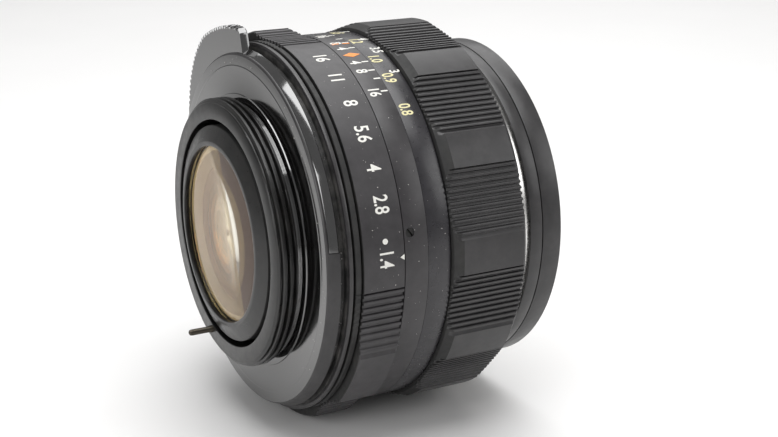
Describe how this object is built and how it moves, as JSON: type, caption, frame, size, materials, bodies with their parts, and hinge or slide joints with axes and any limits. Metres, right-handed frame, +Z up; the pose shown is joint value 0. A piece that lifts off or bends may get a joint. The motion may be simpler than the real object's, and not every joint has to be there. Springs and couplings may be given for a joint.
{
  "type": "camera prime lens",
  "caption": "Manual-focus prime lens with a 42 mm screw mount, a scalloped focus ring, an aperture ring, a depth scale and a stop-down pin.",
  "frame": {"origin": "centre of the mount's flange face, on the optical axis", "axes": "+Y along the optical axis towards the camera body (rear); -Y is the front of the lens; +Z up and +X across as the lens lies on its side"},
  "size_m": [0.061, 0.0493, 0.0622],
  "materials": {
    "black_anodised": "satin black anodised, worn bright at the edges",
    "bright_barrel": "fine turned",
    "inner_black": "matt black",
    "switch_black": "semi-gloss black",
    "brass": "turned",
    "steel": "satin",
    "blade_steel": "oiled dark",
    "glass_coated": "polished with an amber coating"
  },
  "bodies": {
    "fixed_barrel": {"mount_plate": "black_anodised", "mount_screws": "steel", "main_barrel": "inner_black", "dof_ring": "black_anodised", "dof_set_screws": "steel", "helicoid_retainer": "brass", "guide_keys": "brass", "guide_key_screws": "steel", "focus_stop_pin": "steel", "click_ball": "steel", "click_spring": "brass", "click_spring_screw": "steel", "bell_crank_pivot": "steel", "return_spring": "steel", "stop_down_circlips": "steel"},
    "auto_manual_switch": {"am_switch": "switch_black"},
    "aperture_control": {"aperture_ring": "black_anodised", "preset_cam": "steel", "preset_cam_screws": "steel"},
    "focus_control": {"focus_helicoid": "bright_barrel", "distance_scale_ring": "black_anodised", "focus_grip": "black_anodised", "focus_lock_ring": "bright_barrel"},
    "optics": {"helicoid_barrel": "bright_barrel", "lens_barrel": "inner_black", "front_collar": "black_anodised", "filter_ring": "black_anodised", "name_ring": "black_anodised", "front_cell": "inner_black", "front_lens_ring": "inner_black", "second_lens_ring": "inner_black", "third_lens_spacer": "inner_black", "lens_1": "glass_coated", "lens_2": "glass_coated", "lens_3": "glass_coated", "lens_4": "glass_coated", "lens_5": "glass_coated", "lens_6": "glass_coated", "lens_7": "glass_coated", "rear_cell": "inner_black", "sixth_lens_spacer": "inner_black", "rear_lens_spacer": "inner_black", "rear_retaining_ring": "inner_black", "diaphragm_housing": "inner_black", "diaphragm_cover": "inner_black", "diaphragm_screws": "steel"},
    "stop_down_pin": {"push_pin": "brass", "push_pin_clip": "steel"},
    "stop_down_crank": {"bell_crank": "steel"},
    "stop_down_ring": {"stop_down_ring": "inner_black"},
    "diaphragm_cam": {"cam_ring": "bright_barrel"},
    "diaphragm_blade_1": {"blade_1": "blade_steel"},
    "diaphragm_blade_2": {"blade_2": "blade_steel"},
    "diaphragm_blade_3": {"blade_3": "blade_steel"},
    "diaphragm_blade_4": {"blade_4": "blade_steel"},
    "diaphragm_blade_5": {"blade_5": "blade_steel"},
    "diaphragm_blade_6": {"blade_6": "blade_steel"}
  },
  "joints": [
    {"name": "focus_turn", "type": "hinge", "parent": "fixed_barrel", "child": "focus_control", "pos_m": [0, -0.0257, 0], "axis": [0, 1, 0], "range_deg": [-73, 124]},
    {"name": "focus_slide", "type": "slide", "parent": "fixed_barrel", "child": "optics", "axis": [0, -1, 0], "range_m": [-0.00271, 0.0046]},
    {"name": "aperture_turn", "type": "hinge", "parent": "fixed_barrel", "child": "aperture_control", "pos_m": [0, -0.0078, 0], "axis": [0, 1, 0], "range_deg": [0, 67.4]},
    {"name": "switch_turn", "type": "hinge", "parent": "fixed_barrel", "child": "auto_manual_switch", "pos_m": [0, -0.0013, 0], "axis": [0, 1, 0], "range_deg": [0, 15]},
    {"name": "pin_push", "type": "slide", "parent": "fixed_barrel", "child": "stop_down_pin", "axis": [0, -1, 0], "range_m": [0, 0.0035], "stiffness_N_per_m": 60, "springref_m": -0.005},
    {"name": "crank_turn", "type": "hinge", "parent": "fixed_barrel", "child": "stop_down_crank", "pos_m": [0.01097, -0.0054, -0.01612], "axis": [-0.5626, 0, 0.8267], "range_deg": [0, 39.1]},
    {"name": "stop_down_turn", "type": "hinge", "parent": "fixed_barrel", "child": "stop_down_ring", "pos_m": [0, -0.011, 0], "axis": [0, -1, 0], "range_deg": [0, 10.84]},
    {"name": "cam_turn", "type": "hinge", "parent": "optics", "child": "diaphragm_cam", "pos_m": [0, -0.01735, 0], "axis": [0, -1, 0], "range_deg": [0, 10.84]},
    {"name": "blade_1_turn", "type": "hinge", "parent": "optics", "child": "diaphragm_blade_1", "pos_m": [0, -0.0163, 0.0202], "axis": [0, 1, 0], "range_deg": [0, 33.1]},
    {"name": "blade_2_turn", "type": "hinge", "parent": "optics", "child": "diaphragm_blade_2", "pos_m": [0.01749, -0.0163, 0.0101], "axis": [0, 1, 0], "range_deg": [0, 33.1]},
    {"name": "blade_3_turn", "type": "hinge", "parent": "optics", "child": "diaphragm_blade_3", "pos_m": [0.01749, -0.0163, -0.0101], "axis": [0, 1, 0], "range_deg": [0, 33.1]},
    {"name": "blade_4_turn", "type": "hinge", "parent": "optics", "child": "diaphragm_blade_4", "pos_m": [0, -0.0163, -0.0202], "axis": [0, 1, 0], "range_deg": [0, 33.1]},
    {"name": "blade_5_turn", "type": "hinge", "parent": "optics", "child": "diaphragm_blade_5", "pos_m": [-0.01749, -0.0163, -0.0101], "axis": [0, 1, 0], "range_deg": [0, 33.1]},
    {"name": "blade_6_turn", "type": "hinge", "parent": "optics", "child": "diaphragm_blade_6", "pos_m": [-0.01749, -0.0163, 0.0101], "axis": [0, 1, 0], "range_deg": [0, 33.1]}
  ],
  "couplings": [
    {"joint": "focus_slide", "follows": "focus_turn", "m_per_rad": 0.0021168},
    {"joint": "crank_turn", "follows": "pin_push", "rad_per_m": 194.48},
    {"joint": "stop_down_turn", "follows": "pin_push", "rad_per_m": 53.801},
    {"joint": "cam_turn", "follows": "pin_push", "rad_per_m": 53.801},
    {"joint": "blade_1_turn", "follows": "pin_push", "rad_per_m": 164.56},
    {"joint": "blade_2_turn", "follows": "pin_push", "rad_per_m": 164.56},
    {"joint": "blade_3_turn", "follows": "pin_push", "rad_per_m": 164.56},
    {"joint": "blade_4_turn", "follows": "pin_push", "rad_per_m": 164.56},
    {"joint": "blade_5_turn", "follows": "pin_push", "rad_per_m": 164.56},
    {"joint": "blade_6_turn", "follows": "pin_push", "rad_per_m": 164.56}
  ]
}
